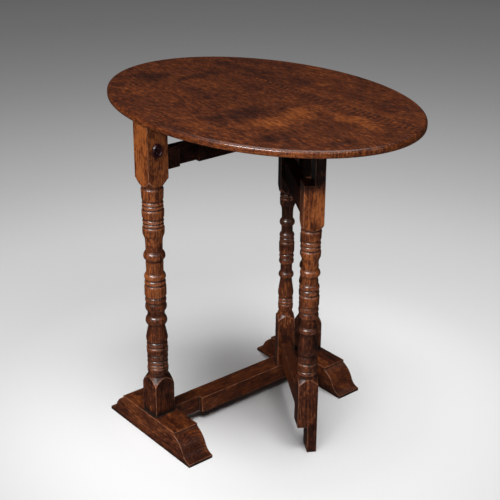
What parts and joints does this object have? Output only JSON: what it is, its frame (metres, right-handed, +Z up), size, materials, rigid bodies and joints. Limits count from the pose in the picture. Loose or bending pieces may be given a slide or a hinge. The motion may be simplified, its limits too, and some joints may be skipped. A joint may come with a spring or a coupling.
{
  "type": "tilt top table",
  "caption": "Oval wooden table whose top tilts up on a hinge between turned posts with shoe feet, held level by a turned gate leg that swings out.",
  "frame": {"origin": "on the floor, under the middle of the oval top", "axes": "+Z up, X from the left post to the right post along the top's short axis, Y along the top's long axis, with the gate leg opening towards -Y"},
  "size_m": [0.5134, 0.712, 0.7],
  "materials": {
    "oak_top": "old oak, waxed and polished, golden brown with red-brown patches and open grain",
    "oak_frame": "dark red-brown oak with a worn polish, paler on the edges",
    "oak_gate": "dark red-brown oak with a worn polish, a little lighter than the frame",
    "oak_underside": "dry unpolished oak, dull and grey-brown",
    "iron_pin": "dark worn wrought iron",
    "steel_screw": "tarnished steel",
    "sealing_wax": "glossy dark red sealing wax, pressed flat in the middle"
  },
  "bodies": {
    "frame": {"left_foot": "oak_frame", "left_post": "oak_frame", "right_foot": "oak_frame", "right_post": "oak_frame", "stretcher": "oak_frame", "upper_rail": "oak_frame", "corner_block": "oak_frame", "wax_seal": "sealing_wax"},
    "gate": {"gate_pivot_post": "oak_gate", "gate_outer_post": "oak_gate", "gate_upper_rail": "oak_gate", "gate_lower_rail": "oak_gate", "gate_top_pin": "iron_pin", "gate_bottom_pin": "iron_pin"},
    "top": {"top_board_left": "oak_top", "top_board_middle": "oak_top", "top_board_right": "oak_top", "batten_front": "oak_underside", "batten_back": "oak_underside", "pivot_bearer": "oak_underside", "batten_screws": "steel_screw", "bearer_screws": "steel_screw", "tilt_pin_left": "iron_pin", "tilt_pin_right": "iron_pin"}
  },
  "joints": [
    {"name": "top_tilt", "type": "hinge", "parent": "frame", "child": "top", "pos_m": [0, 0.074, 0.658], "axis": [-1, 0, 0], "range_deg": [0, 90]},
    {"name": "gate_swing", "type": "hinge", "parent": "frame", "child": "gate", "pos_m": [0.125, 0.055, 0.3], "axis": [0, 0, 1], "range_deg": [-58.4, 31.6]}
  ]
}
